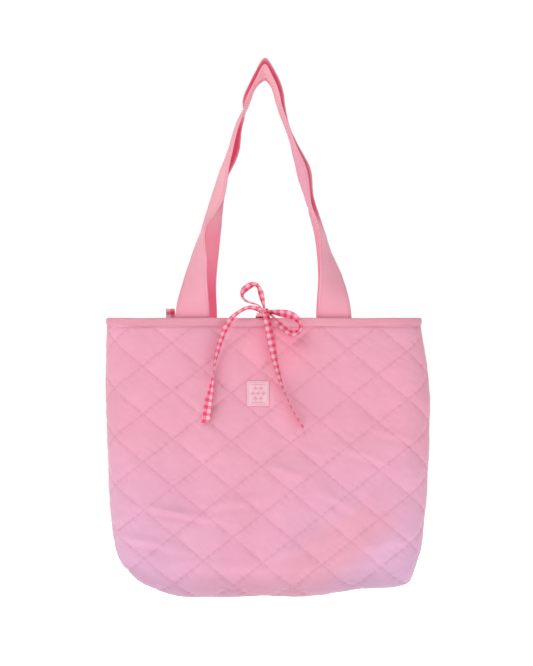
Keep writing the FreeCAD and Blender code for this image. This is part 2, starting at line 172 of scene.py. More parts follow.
# Ribbon runs: centre (x, y, z) and the turn about the run, 0 facing the front, 90 edge on.
BOW_TAIL_LEFT = [
    (-10, -34, -283.5, 65), (-20.5, -35, -281.8, 70), (-30, -36.5, -286.5, 74),
    (-39.5, -37.5, -293.5, 62), (-47, -37.5, -304.5, 50), (-52, -36.5, -316, 56),
    (-56, -36, -328, 60), (-59.5, -36.5, -341, 66), (-62, -37.5, -353, 76),
    (-63.5, -38, -363, 90), (-65, -38, -375, 112), (-66.8, -38, -386, 125),
    (-69.4, -37.5, -398, 137), (-71.4, -37.5, -412, 146), (-73, -37.5, -424, 155),
]
BOW_TAIL_RIGHT = [
    (2, -37.5, -294.5, 40), (4.5, -36.5, -307, 38), (7.3, -35.5, -321.5, 34),
    (10, -35.5, -335.5, 45), (12.7, -36, -349, 54), (16, -36.5, -362.5, 62),
    (20, -37.5, -376, 71), (24.3, -38.5, -386.5, 79), (29.6, -39.5, -399, 83),
    (35.2, -40, -410, 85), (41.5, -40.5, -421, 86), (47.3, -40.5, -430, 78),
]
BOW_LOOP_LEFT = [
    (-1, -33, -283.5, 78), (-2.6, -33, -276, 62), (-4.5, -33.5, -267, 57),
    (-7.5, -33.5, -257.5, 72), (-12.5, -33, -252.6, 66), (-20, -33, -256, 50),
    (-27, -33, -261.5, 52), (-28.5, -33, -268.5, 72), (-24, -33, -274, 76),
    (-17, -32.5, -276.5, 79), (-10, -32, -278.2, 81), (-5.5, -31.5, -281.3, 82),
]
BOW_LOOP_RIGHT = [
    (6.5, -33, -287.5, 118), (17, -35.5, -288.8, 139), (28, -37, -290.3, 145),
    (37.5, -38, -294, 130), (43.5, -38.5, -301.5, 108), (44.5, -39.5, -308.5, 112),
    (40, -40, -313.5, 122), (33.5, -40, -314.8, 129), (27, -40, -311.5, 129),
    (19.5, -39.5, -305, 127), (13, -38.5, -298.5, 120), (9, -36, -292.5, 106),
]
# Where each ribbon goes into the knot.
KNOT_TUCK = {
    "bow_tail_left": (-4.5, -32.5, -286.6, 62), "bow_tail_right": (0.5, -33.5, -289.5, 42),
    "bow_loop_left": (-0.8, -32.5, -287.5, 78), "bow_loop_left_end": (-2.5, -31.8, -286, 82),
    "bow_loop_right": (1.5, -32, -287.8, 102), "bow_loop_right_end": (3.5, -33.5, -289.6, 100),
}
KNOT_CENTRE = (-1.0, -31.4, -288.4)
KNOT_HALF = (6.8, 5.2, 5.4)


# ---- camera and light
def make_camera():
    data = bpy.data.cameras.new("camera")
    data.lens = 112.4
    data.sensor_width = 36
    camera = bpy.data.objects.new("camera", data)
    camera.location = (0.0019, -2.6, -0.31375)
    camera.rotation_euler = (math.radians(90), 0, 0)
    bpy.context.scene.collection.objects.link(camera)
    bpy.context.scene.camera = camera


def area_light(name, place, target, size, power, colour=(1, 1, 1)):
    data = bpy.data.lights.new(name, "AREA")
    data.shape = "RECTANGLE"
    data.size, data.size_y = size
    data.energy = power
    data.color = colour
    light = bpy.data.objects.new(name, data)
    light.location = place
    aim = Vector(target) - Vector(place)
    light.rotation_euler = aim.to_track_quat("-Z", "Y").to_euler()
    bpy.context.scene.collection.objects.link(light)


def add_node(tree, kind, **values):
    """A shader node; values are its constants, with _ for the space in an input's name."""
    node = tree.nodes.new("ShaderNode" + kind)
    for key, value in values.items():
        node.inputs[key.replace("_", " ")].default_value = value
    return node


def make_world():
    """White where the camera sees it, dimmer as a source of light."""
    world = bpy.data.worlds.new("studio")
    bpy.context.scene.world = world
    world.use_nodes = True
    tree = world.node_tree
    tree.nodes.clear()
    out = add_node(tree, "OutputWorld")
    seen = add_node(tree, "Background", Color=(1, 1, 1, 1), Strength=1.0)
    fill = add_node(tree, "Background", Color=(1, 1, 1, 1), Strength=0.47)
    either = add_node(tree, "MixShader")
    path = add_node(tree, "LightPath")
    tree.links.new(path.outputs["Is Camera Ray"], either.inputs["Fac"])
    tree.links.new(fill.outputs["Background"], either.inputs[1])
    tree.links.new(seen.outputs["Background"], either.inputs[2])
    tree.links.new(either.outputs["Shader"], out.inputs["Surface"])


bpy.context.scene.view_settings.view_transform = "Standard"
make_camera()
make_world()
area_light("key", (-1.0, -1.3, 1.35), (0, 0, -0.4), (1.9, 1.5), 26)
area_light("fill", (1.5, -1.4, 0.2), (0, 0, -0.4), (1.4, 1.6), 4.4)
area_light("back", (0.5, 1.9, 0.7), (0, 0, -0.4), (1.8, 1.4), 12)


# ---- numbers
def through(points, at):
    """Points on the smooth curve through given rows of numbers; at runs 0 to 1."""
    p = np.array(points, float).reshape(len(points), -1)
    h = np.maximum(np.linalg.norm(np.diff(p, axis=0), axis=1), 1e-9)
    t = np.concatenate([[0], np.cumsum(h)])
    n = len(p)
    a = np.zeros((n, n))
    r = np.zeros_like(p)
    a[0, 0] = a[-1, -1] = 1
    for i in range(1, n - 1):
        a[i, i - 1:i + 2] = h[i - 1], 2 * (h[i - 1] + h[i]), h[i]
        r[i] = 6 * ((p[i + 1] - p[i]) / h[i] - (p[i] - p[i - 1]) / h[i - 1])
    m = np.linalg.solve(a, r)
    x = np.clip(np.asarray(at, float), 0, 1) * t[-1]
    k = np.clip(np.searchsorted(t, x, "right") - 1, 0, n - 2)
    w = h[k][:, None]
    u = (t[k + 1] - x)[:, None]
    v = (x - t[k])[:, None]
    out = (m[k] * u ** 3 + m[k + 1] * v ** 3) / (6 * w)
    out += (p[k] / w - m[k] * w / 6) * u + (p[k + 1] / w - m[k + 1] * w / 6) * v
    return out.reshape((len(x),) + np.array(points[0], float).shape)


def run_length(line):
    """How far along a polyline each of its points is."""
    return np.concatenate([[0], np.cumsum(np.linalg.norm(np.diff(line, axis=0), axis=1))])


def sample(at, s, values):
    """Rows of values, known at the places s, read between them."""
    return np.stack([np.interp(at, s, column) for column in values.T], -1)


def even(curve, count):
    """A polyline resampled at even steps of its length."""
    s = run_length(curve)
    return sample(np.linspace(0, s[-1], count), s, curve)


def wavy(x, z, size, seed):
    """Smooth noise from -1 to 1 over the plane, the same each run."""
    rng = np.random.default_rng(seed)
    total = np.zeros_like(x, float)
    for _ in range(9):
        angle = rng.uniform(0, 2 * math.pi)
        wave = 2 * math.pi / (size * rng.uniform(0.7, 1.6))
        total += np.sin(wave * (x * math.cos(angle) + z * math.sin(angle)) + rng.uniform(0, 6.3))
    return total / 4.5


def unit(v):
    return v / np.maximum(np.linalg.norm(v, axis=-1, keepdims=True), 1e-12)


def mix(a, b, share):
    """From a towards b by a share given at each point."""
    return a + (b - a) * share[..., None]


def grid_normals(p):
    return unit(np.cross(np.gradient(p, axis=1), np.gradient(p, axis=0)))


def look_up(grid, row, col):
    """Bilinear values of a grid at fractional rows and columns."""
    r = np.clip(row, 0, grid.shape[0] - 1.001)
    c = np.clip(col, 0, grid.shape[1] - 1.001)
    i, j = r.astype(int), c.astype(int)
    fr, fc = (r - i)[..., None], (c - j)[..., None]
    return ((grid[i, j] * (1 - fc) + grid[i, j + 1] * fc) * (1 - fr)
            + (grid[i + 1, j] * (1 - fc) + grid[i + 1, j + 1] * fc) * fr)


# ---- meshes
def new_object(name, verts, faces, cloth=None, tint=None, smooth=True, cell=None):
    """A mesh object from millimetre points."""
    mesh = bpy.data.meshes.new(name)
    mesh.from_pydata((np.asarray(verts, float) * MM).tolist(), [], faces)
    if smooth:
        mesh.polygons.foreach_set("use_smooth", [True] * len(mesh.polygons))
    for kind, values in (("cloth", cloth), ("cell", cell)):
        if values is not None:
            at = mesh.attributes.new(kind, "FLOAT_VECTOR", "POINT")
            at.data.foreach_set("vector", np.asarray(values, np.float32).ravel())
    if tint is not None:
        at = mesh.color_attributes.new("tint", "FLOAT_COLOR", "POINT")
        rgba = np.concatenate([tint, np.ones((len(tint), 1))], 1)
        at.data.foreach_set("color", np.asarray(rgba, np.float32).ravel())
    mesh.update()
    obj = bpy.data.objects.new(name, mesh)
    bpy.context.scene.collection.objects.link(obj)
    return obj


def grid_faces(rows, cols, start=0, wrap=False, flip=False):
    faces = []
    last = cols if wrap else cols - 1
    for i in range(rows - 1):
        for j in range(last):
            k = (j + 1) % cols
            quad = (start + i * cols + j, start + i * cols + k,
                    start + (i + 1) * cols + k, start + (i + 1) * cols + j)
            faces.append(quad[::-1] if flip else quad)
    return faces


def closed_strip(rings):
    """Vertices and faces of a tube through rings of points, with flat ends."""
    rows, cols = rings.shape[:2]
    faces = grid_faces(rows, cols, wrap=True)
    faces.append(tuple(range(cols))[::-1])
    faces.append(tuple((rows - 1) * cols + k for k in range(cols)))
    return rings.reshape(-1, 3), faces


def stitches(centres, along, normal, length, radius):
    """Vertices and faces of small thread stitches lying on a surface."""
    along = unit(along)
    normal = unit(normal)
    side = unit(np.cross(along, normal))
    verts = []
    for shift, size, lift in ((-0.5, 0.25, -0.5), (-0.34, 0.9, 0.35), (0.0, 1.0, 0.6),
                              (0.34, 0.9, 0.35), (0.5, 0.25, -0.5)):
        middle = centres + along * shift * length + normal * lift * radius
        for turn in (0, 90, 180, 270):
            c, s = math.cos(math.radians(turn)), math.sin(math.radians(turn))
            verts.append(middle + (side * c + normal * s) * radius * size)
    points = np.stack(verts, 1).reshape(-1, 3)
    faces = []
    for n in range(len(centres)):
        faces.extend(grid_faces(5, 4, start=20 * n, wrap=True, flip=True))
    return points, faces


def along_line(points, normals, pitch):
    """Stitch centres, directions and normals at an even pitch along a polyline."""
    s = run_length(points)
    at = np.arange(pitch / 2, s[-1], pitch)
    way = sample(at + 0.4, s, points) - sample(at - 0.4, s, points)
    return sample(at, s, points), way, sample(at, s, normals)


def outward(path, side):
    """Level unit vectors pointing out of the bag along a plan curve of the mouth."""
    ahead = unit(np.gradient(path, axis=0))
    out = np.stack([ahead[:, 1], -ahead[:, 0]], 1)
    return -out if np.mean(out[:, 1]) * side < 0 else out


def dress(obj, material, slot, *nodes, body="bag"):
    """Give a piece its cloth, its body and the CAD nodes that it stands for."""
    obj.data.materials.append(material)
    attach(obj, body)
    if nodes:
        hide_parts(*nodes)


def sew(name, seams, *nodes, radius, length=STITCH):
    """One piece of thread stitches from seams of (centres, directions, normals)."""
    points, faces = stitches(*[np.concatenate(parts) for parts in zip(*seams)], length, radius)
    dress(new_object(name, points, faces, points), THREAD, "sewing_thread", *nodes)


# ---- materials
def math_node(tree, kind, a, b=None):
    node = tree.nodes.new("ShaderNodeMath")
    node.operation = kind
    for slot, value in ((0, a), (1, b)):
        if value is None:
            continue
        if isinstance(value, (int, float)):
            node.inputs[slot].default_value = value
        else:
            tree.links.new(value, node.inputs[slot])
    return node.outputs[0]


def attribute(tree, name):
    node = add_node(tree, "Attribute")
    node.attribute_name = name
    return node


def quilt_lines(tree, calc):
    """A groove along each quilting line and the needle holes in it, from the cell places."""
    split = add_node(tree, "SeparateXYZ")
    tree.links.new(attribute(tree, "cell").outputs["Vector"], split.inputs[0])
    masks = []
    for a, b, spacing in (("X", "Y", LINE_SPACING[0]), ("Y", "X", LINE_SPACING[1])):
        gap = calc("MULTIPLY", calc("PINGPONG", split.outputs[a], 0.5), spacing)
        groove = calc("MAXIMUM", calc("SUBTRACT", 1.0, gap), 0.0)
        dash = calc("SINE", calc("MULTIPLY", split.outputs[b],
                                 2 * math.pi * CELL_RUN / QUILT_PITCH))
        masks.append(calc("MULTIPLY", groove, calc("ADD", 0.68, calc("MULTIPLY", dash, 0.32))))
    return calc("MAXIMUM", masks[0], masks[1])


def gingham_checks(tree, calc, u, v):
    """The ribbon's two woven colours, crossed in checks, with a selvedge on each side."""
    rows = calc("GREATER_THAN", calc("FRACT", calc("MULTIPLY", v, 1 / CHECK_REPEAT)), 0.5)
    edge = calc("GREATER_THAN", calc("ABSOLUTE", u), RIBBON_WIDTH / 2 - SELVEDGE)
    cols = calc("ABSOLUTE", calc("SUBTRACT", calc("GREATER_THAN", u, 0.0), edge))
    ramp = add_node(tree, "ValToRGB")
    ramp.color_ramp.interpolation = "CONSTANT"
    stops = ramp.color_ramp.elements
    stops.new(0.8)
    for stop, place, colour in zip(stops, (0.0, 0.3, 0.8), CHECKS):
        stop.position = place
        stop.color = (*colour, 1)
    tree.links.new(calc("MULTIPLY", calc("ADD", rows, cols), 0.5), ramp.inputs["Fac"])
    return ramp.outputs["Color"]


def fabric(name, colour, thread=0.55, rough=0.92, sheen=0.3, bump=0.35, tint=False,
           mottle=0.10, gingham=False, flecks=0.16, quilted=0.0, glow=0.0):
    """Woven cloth: thread-scale weave, fibre noise and slow colour variation.

    glow stands for the light that comes through the cloth."""
    mat = bpy.data.materials.new(name)
    mat.use_nodes = True
    tree = mat.node_tree
    tree.nodes.clear()
    link = tree.links.new

    def calc(kind, a, b=None):
        return math_node(tree, kind, a, b)

    out = add_node(tree, "OutputMaterial")
    shader = add_node(
        tree, "BsdfPrincipled", Roughness=rough, Sheen_Weight=sheen, Sheen_Roughness=0.5,
        Sheen_Tint=(1.0, 0.88, 0.92, 1), Specular_IOR_Level=0.25,
        Emission_Color=(0.85, 0.2, 0.31, 1), Emission_Strength=glow)
    link(shader.outputs["BSDF"], out.inputs["Surface"])
    cloth = attribute(tree, "cloth")
    split = add_node(tree, "SeparateXYZ")
    fibre = add_node(tree, "TexNoise", Scale=1.6, Detail=4, Roughness=0.65)
    slow = add_node(tree, "TexNoise", Scale=0.035, Detail=3)
    for node in (split, fibre, slow):
        link(cloth.outputs["Vector"], node.inputs["Vector"])
    u, v = split.outputs["X"], split.outputs["Y"]
    wave_u = calc("SINE", calc("MULTIPLY", u, 2 * math.pi / thread))
    wave_v = calc("SINE", calc("MULTIPLY", v, 2 * math.pi / thread))
    weave = calc("MULTIPLY", wave_u, wave_v)
    height = calc("ADD", calc("MULTIPLY", weave, 0.5),
                  calc("MULTIPLY", fibre.outputs["Fac"], 1.2))
    level = calc("ADD", 1.0 - flecks / 2 - mottle / 2,
                 calc("MULTIPLY", fibre.outputs["Fac"], flecks))
    level = calc("ADD", level, calc("MULTIPLY", slow.outputs["Fac"], mottle))
    level = calc("ADD", level, calc("MULTIPLY", weave, flecks * 0.35))
    if quilted:
        lines = quilt_lines(tree, calc)
        height = calc("SUBTRACT", height, calc("MULTIPLY", lines, 2.2))
        # Painted shade: the quilting grooves and needle holes are darkened in the colour.
        level = calc("MULTIPLY", level, calc("SUBTRACT", 1.0, calc("MULTIPLY", lines, quilted)))
    bumper = add_node(tree, "Bump", Strength=bump, Distance=0.00025)
    link(height, bumper.inputs["Height"])
    link(bumper.outputs["Normal"], shader.inputs["Normal"])
    shade = add_node(tree, "Mix")
    shade.data_type = "RGBA"
    shade.blend_type = "MULTIPLY"
    shade.inputs["Factor"].default_value = 1.0
    if gingham:
        link(gingham_checks(tree, calc, u, v), shade.inputs["A"])
    elif tint:
        link(attribute(tree, "tint").outputs["Color"], shade.inputs["A"])
    else:
        shade.inputs["A"].default_value = (*colour, 1)
    grey = add_node(tree, "CombineColor")
    for channel in ("Red", "Green", "Blue"):
        link(level, grey.inputs[channel])
    link(grey.outputs["Color"], shade.inputs["B"])
    link(shade.outputs["Result"], shader.inputs["Base Color"])
    mat.diffuse_color = (*colour, 1)
    return mat


PINK = np.array((0.755, 0.336, 0.442))
SALMON = np.array((0.755, 0.325, 0.395))
# painted light for the front just under the bow
PAINTED_BOW_LIGHT = np.array((0.93, 0.29, 0.38))
# painted shade on the inner faces of the straps, low down
INNER_SHADE_PINK = np.array((1.0, 0.20, 0.33))
# painted shade deep in the hollow of a strap's fold
FOLD_SHADE_CRIMSON = np.array((0.56, 0.02, 0.075))
# painted shade on the outside of a strap's fold
WALL_SHADE_MAUVE = np.array((0.60, 0.26, 0.37))
STRAP_HIGH = np.array((0.70, 0.355, 0.40))
STRAP_LOW = np.array((0.68, 0.30, 0.375))
# painted bluish shade for the base of the panels
LILAC_SHADE = np.array((0.67, 0.41, 0.60))
CHECKS = ((0.85, 0.50, 0.57), (0.82, 0.20, 0.31), (0.78, 0.05, 0.15))  # pale, mixed, full
LINING_PINK = (0.74, 0.35, 0.44)
OUTER = fabric("outer_cotton", PINK, thread=0.8, tint=True, sheen=0.35, quilted=0.08)
HEM = fabric("hem_cotton", PINK, thread=0.8, tint=True, sheen=0.3)
LINING = fabric("lining_cotton", LINING_PINK, thread=0.6, sheen=0.15, mottle=0.08)
QUILTED_LINING = fabric("quilted_lining", LINING_PINK, thread=0.6, sheen=0.15, mottle=0.08,
                        quilted=0.15)
STRAP = fabric("strap_cotton", PINK, thread=0.7, tint=True, sheen=0.25, bump=0.03, flecks=0.04,
               glow=0.13)
GINGHAM = fabric("gingham_ribbon", (0.86, 0.3, 0.42), thread=0.5, gingham=True, sheen=0.1,
                 mottle=0.05, rough=0.75)
TAPE = fabric("binding_tape", (0.82, 0.40, 0.49), thread=0.9, sheen=0.15)
THREAD = fabric("sewing_thread", (0.70, 0.27, 0.385), thread=0.3, sheen=0.2, rough=0.7)
WOVEN = fabric("label_weave", (0.80, 0.49, 0.55), thread=0.45, sheen=0.3, rough=0.6, flecks=0.09)
MOTIF = fabric("label_motif", (0.74, 0.33, 0.42), thread=0.4, sheen=0.3, rough=0.55, flecks=0.12)


# ---- body panels
def half_depth(z):
    return MOUTH_HALF_DEPTH + BASE_SLOPE * (MOUTH_Z - z)


RIM = through(OUTLINE, np.linspace(0, 1, 3000))
SIDE_TOP_Z = -300.0
UPPER = 900                 # points at each end of the rim that are sure to be on its sides
TOP_LEFT = int(np.argmin(np.abs(RIM[:UPPER, 1] - SIDE_TOP_Z)))
TOP_RIGHT = len(RIM) - UPPER + int(np.argmin(np.abs(RIM[-UPPER:, 1] - SIDE_TOP_Z)))
BASE_LEFT, BASE_RIGHT = [int(np.argmin(np.hypot(RIM[:, 0] - x, RIM[:, 1] - z)))
                         for x, z in ((-173, -607), (180, -625))]
SIDE_LEFT = even(RIM[TOP_LEFT:BASE_LEFT + 1], 400)
BASE_EDGE = even(RIM[BASE_LEFT:BASE_RIGHT + 1], 400)
SIDE_RIGHT = even(RIM[BASE_RIGHT:TOP_RIGHT + 1][::-1], 400)
PLAN_WIDE = 395.0
PLAN_TALL = 340.0
CLOTH_WIDE = PLAN_WIDE - 2 * EDGE_ROUND + 2 * EDGE_CLOTH
CLOTH_TALL = PLAN_TALL - EDGE_ROUND + EDGE_CLOTH


def drawn(s):
    """How far in from an edge, and the share of the depth, a cloth length from it."""
    phi = np.clip(s / EDGE_CLOTH, 0, 1) * math.pi / 2
    return EDGE_ROUND * (1 - np.cos(phi)) + np.maximum(s - EDGE_CLOTH, 0), np.sin(phi)


def edge_at(curve, share):
    return sample(np.clip(share, 0, 1) * (len(curve) - 1), np.arange(len(curve)), curve)


def body_surface(side, col, row):
    """The outer face at cloth columns and rows (mm from the left seam and from the mouth)."""
    from_right = CLOTH_WIDE - col
    near_left = col < from_right
    inset, share_x = drawn(np.minimum(col, from_right))
    u = np.where(near_left, inset, PLAN_WIDE - inset) / PLAN_WIDE
    low, share_z = drawn(np.maximum(CLOTH_TALL - row, 0))
    v = 1 - low / PLAN_TALL
    base, left, right = edge_at(BASE_EDGE, u), edge_at(SIDE_LEFT, v), edge_at(SIDE_RIGHT, v)
    a, b = u[..., None], v[..., None]
    top = SIDE_LEFT[0] + (SIDE_RIGHT[0] - SIDE_LEFT[0]) * a
    plan = (1 - b) * top + b * base + (1 - a) * left + a * right
    plan = plan - (1 - a) * (1 - b) * SIDE_LEFT[0] - a * (1 - b) * SIDE_RIGHT[0]
    plan = plan - (1 - a) * b * BASE_EDGE[0] - a * b * BASE_EDGE[-1]
    x, z = plan[..., 0], plan[..., 1]
    share = share_x * share_z
    y = side * half_depth(z) * share
    excess_x = np.maximum(EDGE_CLOTH - np.minimum(col, from_right), 0)
    excess_x = excess_x - np.maximum(EDGE_ROUND - inset, 0)
    cloth_x = x + np.where(near_left, -1, 1) * excess_x
    excess_z = np.maximum(EDGE_CLOTH - (CLOTH_TALL - row), 0) - np.maximum(EDGE_ROUND - low, 0)
    return np.stack([x, y, z], -1), np.stack([cloth_x, z - excess_z], -1)


CELL_A = np.array((72.75, -2.5))
CELL_B = np.array((0.75, -59.25))
CELL_START = {-1: np.array((-77.1, -475.6)), 1: np.array((-52.0, -462.0))}
TO_CELL = np.linalg.inv(np.stack([CELL_A, CELL_B], 1))
# Soft folds: centre, half length, half width, slope in degrees, height.
FOLDS = {
    -1: [(-109, -536, 42, 6, -10, 5.0), (-144, -572, 36, 7, -12, 4.0), (25, -485, 26, 6, -18, 3.0),
         (88, -520, 26, 7, -30, 3.2), (50, -457, 24, 6, -28, 2.8), (125, -466, 24, 6, -20, 2.8),
         (162, -441, 24, 6, -15, 2.4), (-31, -522, 30, 7, 8, 2.8), (-150, -470, 30, 8, 35, 2.0),
         (140, -575, 40, 9, 12, 2.0), (-60, -600, 60, 9, -4, 1.6), (40, -580, 46, 8, 14, 1.6)],
    1: [(-90, -520, 46, 8, 12, 2.6), (60, -560, 50, 8, -8, 2.4), (120, -470, 34, 7, 24, 2.0),
        (-140, -430, 30, 7, -30, 1.8), (10, -430, 34, 7, 6, 1.4), (-20, -600, 60, 9, 3, 1.8)],
}


def cell_place(side, cloth):
    pq = (cloth - CELL_START[side]) @ TO_CELL.T
    return pq[..., 0] + pq[..., 1], pq[..., 0] - pq[..., 1]


def cell_vectors(side, cloth):
    one, two = cell_place(side, cloth)
    return np.stack([one, two, one * 0], -1).reshape(-1, 3)


def relief(side, cloth, col, row):
    """Height of the quilted face over the plain one: pillows, puckers, folds and seams."""
    one, two = cell_place(side, cloth)
    gap_one = np.abs(one - np.round(one)) * LINE_SPACING[0]
    gap_two = np.abs(two - np.round(two)) * LINE_SPACING[1]
    rise = 1.0
    for gap in (gap_one, gap_two):
        rise = rise * (0.42 * (1 - np.exp(-gap / 1.6)) + 0.58 * (1 - np.exp(-gap / 10.0)))
    cell = np.floor(one) * 12.99 + np.floor(two) * 78.2 + side * 3.1
    luck = np.sin(cell) * 43758.5
    luck = luck - np.floor(luck)
    local = (one - np.floor(one)) - (two - np.floor(two))
    height = PILLOW * rise * (0.82 + 0.36 * luck) * (1 + 0.35 * local) - SUNK
    x, z = cloth[..., 0], cloth[..., 1]
    near = np.exp(-np.minimum(gap_one, gap_two) / 7.0)
    travel = np.where(gap_one < gap_two, two, one) * CELL_RUN
    height = height + 0.42 * near * np.sin(travel * 2 * math.pi / 8.5 + 2 * wavy(x, z, 40, 5))
    height = height + 0.5 * wavy(x, z, 34, 11) + 0.22 * wavy(x, z, 13, 12)
    for fx, fz, long, wide, slope, tall in FOLDS[side]:
        c, s = math.cos(math.radians(slope)), math.sin(math.radians(slope))
        across = -(x - fx) * s + (z - fz) * c
        down = (x - fx) * c + (z - fz) * s
        crest = np.exp(-(across / wide) ** 2)
        ditch = 0.55 * np.exp(-((across + wide) / (wide * 0.7)) ** 2)
        height = height + tall * (crest - ditch) * np.exp(-(down / long) ** 2)
    hem_near = np.exp(-np.maximum(row - 6, 0) / 3.5)
    height = height * (1 - 0.6 * hem_near) - 1.5 * hem_near
    seam = np.minimum(np.minimum(col, CLOTH_WIDE - col), CLOTH_TALL - row)
    pucker = 0.16 * np.sin((x + z) * 0.35 + 3 * wavy(x, z, 60, 8)) * np.exp(-seam / 10)
    height = height * (1 - np.exp(-seam / 9)) - 0.5 * np.exp(-(seam / 2.0) ** 2) + pucker
    if side < 0:
        away = np.maximum(np.abs(x - LABEL_X) - LABEL_HALF[0],
                          np.abs(z - LABEL_Z) - LABEL_HALF[1])
        flat = np.clip(1 - (away + 1) / 7, 0, 1) ** 2
        height = height * (1 - flat) - 0.9 * flat
    return height


def body_tint(side, x, z):
    """Panel colour: painted lilac shade towards the base, most at its corners; warmer low right; a
    painted pool of light under the bow; a slow random drift of tone.
    """
    # Painted shade: lilac towards the base, where bluish shadow falls, most at the corners.
    low = np.clip((-430 - z) / 200, 0, 1)
    lilac = 0.72 * low * np.clip(np.abs(x + 20) / 170, 0, 1) + 0.2 * low
    tint = mix(PINK, LILAC_SHADE, lilac)
    along = (x - 90) * 0.785 + (z + 578) * 0.62
    across = -(x - 90) * 0.62 + (z + 578) * 0.785
    warm = 0.55 * (side < 0) * np.exp(-(along / 88) ** 4 - (across / 30) ** 4)
    tint = mix(tint, SALMON, warm)
    # Painted light: a warm pool of light on the front under the bow.
    painted_bow_light = 0.5 * (side < 0) * np.exp(-((x - 18) / 48) ** 2 - ((z + 325) / 42) ** 2)
    tone = 1 + 0.02 * wavy(x, z, 90, 21)
    return mix(tint, PAINTED_BOW_LIGHT, painted_bow_light) * tone[..., None]


def build_quilt(side, spacing):
    """Outer face grid: points, normals, cloth places, columns, rows and the seam edges."""
    cols = np.linspace(0, CLOTH_WIDE, round(CLOTH_WIDE / spacing) + 1)
    rows = np.linspace(0, CLOTH_TALL, round(CLOTH_TALL / spacing) + 1)
    col, row = np.meshgrid(cols, rows)
    plain, cloth = body_surface(side, col, row)
    normal = grid_normals(plain) * -side
    if np.mean(normal[:, :, 1]) * side < 0:
        normal = -normal
    edge = (col < 0.1) | (col > CLOTH_WIDE - 0.1)
    return plain, normal, cloth, col, row, edge


def quilting(side, face, normal, cloth, col, row):
    """The stitches of both families of quilting lines, followed over the puffed face."""
    seams = []
    rows, cols = face.shape[:2]
    step_col = col[0, 1] - col[0, 0]
    step_row = row[1, 0] - row[0, 0]
    face_normal = grid_normals(face)
    face_normal = face_normal * np.sign(np.sum(face_normal * normal, -1, keepdims=True))
    for way, across in ((CELL_A - CELL_B, CELL_A + CELL_B), (CELL_A + CELL_B, CELL_A - CELL_B)):
        way = way / np.linalg.norm(way)
        for k in range(-12, 13):
            s = np.arange(-420, 420, QUILT_PITCH)
            at = CELL_START[side] + k / 2 * across + s[:, None] * way
            r = (SIDE_TOP_Z - at[:, 1]) / step_row
            c = (at[:, 0] - MOUTH_LEFT + EDGE_CLOTH - EDGE_ROUND) / step_col
            for _ in range(60):
                miss = at - look_up(cloth, r, c)
                c = np.clip(c + 0.6 * miss[:, 0] / step_col, -3, cols + 3)
                r = np.clip(r - 0.6 * miss[:, 1] / step_row, -3, rows + 3)
            good = (np.abs(miss).max(1) < 0.25) & (c > 1.5) & (c < cols - 2.5)
            good &= (r * step_row > 8) & (r < rows - 2.5)
            if side < 0:
                spot = look_up(cloth, r, c)
                good &= ~((np.abs(spot[:, 0] - LABEL_X) < LABEL_HALF[0] + 1)
                          & (np.abs(spot[:, 1] - LABEL_Z) < LABEL_HALF[1] + 1))
            if good.sum() > 1:
                place = look_up(face, r, c)
                seams.append((place[good], np.gradient(place, axis=0)[good],
                              look_up(face_normal, r, c)[good]))
    return seams


def panel_object(name, side, points, cloth, flip, tint=None):
    rows, cols = points.shape[:2]
    flat = np.concatenate([cloth, np.zeros((rows, cols, 1))], -1)
    return new_object(name, points.reshape(-1, 3), grid_faces(rows, cols, flip=flip),
                      flat.reshape(-1, 3), tint, cell=cell_vectors(side, cloth))


def make_panel(side):
    """One quilted side of the bag, its stitches and its lining."""
    name = NAMES[side]
    plain, normal, cloth, col, row, edge = build_quilt(side, PANEL_MESH)
    height = relief(side, cloth, col, row)
    face = plain + normal * height[..., None]
    face[..., 1] = np.where(edge, 0, face[..., 1])
    face[-1, :, 1] = 0
    # Painted shade: the panel colour is darker where its face turns downwards, under the base.
    underside_shade = 1 - 0.42 * np.clip(-normal[..., 2:3], 0, 1)
    tint = body_tint(side, plain[..., 0], plain[..., 2]) * underside_shade
    obj = panel_object(name + "_quilted_panel", side, face, cloth, side > 0, tint.reshape(-1, 3))
    dress(obj, OUTER, "outer_cotton", name + "_outer_panel", name + "_wadding")
    sew(name + "_quilting_stitches", quilting(side, face, normal, cloth, col, row), radius=0.27)

    plain, normal, cloth, col, row, edge = build_quilt(side, LINING_MESH)
    height = relief(side, cloth, col, row)
    inner = -QUILT_THICK + 0.9 + (-height - 0.2) * 0.55
    inside = plain + normal * np.clip(inner, -6.2, -2.6)[..., None]
    inside[..., 1] = np.where(edge, 0, inside[..., 1])
    inside[-1, :, 1] = 0
    inside[..., 1] = np.where(side * inside[..., 1] < 0, 0, inside[..., 1])
    lining = panel_object(name + "_lining_cloth", side, inside, cloth, side < 0)
    dress(lining, QUILTED_LINING, "lining_cotton", name + "_lining")


# ---- hem, facing, binding
def mouth_path(side, inset, count):
    """Plan curve of the mouth, a distance inside the outer face, from left to right."""
    left, right = MOUTH_LEFT + inset, MOUTH_RIGHT - inset
    depth = MOUTH_HALF_DEPTH - inset
    quarter = np.linspace(0, math.pi / 2, 60)
    run, y = EDGE_ROUND * (1 - np.cos(quarter)), side * depth * np.sin(quarter)
    start, end = np.stack([left + run, y], 1), np.stack([right - run, y], 1)
    return even(np.concatenate([start, end[::-1]]), count)


